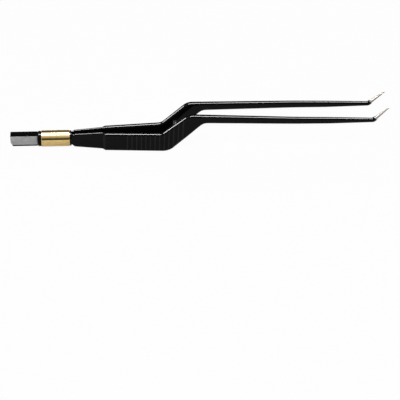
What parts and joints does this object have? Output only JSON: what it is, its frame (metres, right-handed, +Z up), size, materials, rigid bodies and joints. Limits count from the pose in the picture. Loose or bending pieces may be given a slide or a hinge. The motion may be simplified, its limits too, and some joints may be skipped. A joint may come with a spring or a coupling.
{
  "type": "bipolar forceps",
  "caption": "Bayonet bipolar forceps: sprung insulated arms with bare up-angled tips, held in a gold-coloured sleeve with a flat two-pole plug.",
  "frame": {"origin": "under the middle of the overall length, on the middle plane, at the surface that the two grips stand on", "axes": "+X from the plug to the tips, +Y across the opening towards the left arm, +Z up, the way the tips point"},
  "size_m": [0.216, 0.0188, 0.0298],
  "materials": {
    "arm_coat": "smooth glossy black insulating coat",
    "spring_steel": "satin spring steel",
    "tip_metal": "polished outside, matte inner faces",
    "contact_metal": "matte bead-blasted nickel",
    "plug_plastic": "smooth black insulating plastic",
    "sleeve_gold": "turned, gold-coloured",
    "inner_plastic": "plain dark insulating plastic",
    "stop_plastic": "smooth dark grey"
  },
  "bodies": {
    "handle": {"plug_core": "plug_plastic", "left_contact": "contact_metal", "right_contact": "contact_metal", "rear_collar": "plug_plastic", "sleeve": "sleeve_gold", "sleeve_liner": "inner_plastic", "left_clamp": "inner_plastic", "right_clamp": "inner_plastic", "rear_pin": "inner_plastic", "front_pin": "inner_plastic", "front_collar": "plug_plastic"},
    "left_side": {"left_arm": "spring_steel", "left_insulation": "arm_coat", "left_tip": "tip_metal", "stop_button": "stop_plastic"},
    "right_side": {"right_arm": "spring_steel", "right_insulation": "arm_coat", "right_tip": "tip_metal"}
  },
  "joints": [
    {"name": "left_arm_flex", "type": "hinge", "parent": "handle", "child": "left_side", "pos_m": [-0.07387, 0.00185, 0.0063], "axis": [0, 0, -1], "range_deg": [0, 2.29], "stiffness_Nm_per_rad": 3.4},
    {"name": "right_arm_flex", "type": "hinge", "parent": "handle", "child": "right_side", "pos_m": [-0.07387, -0.00185, 0.0063], "axis": [0, 0, 1], "range_deg": [0, 2.29], "stiffness_Nm_per_rad": 3.4}
  ]
}
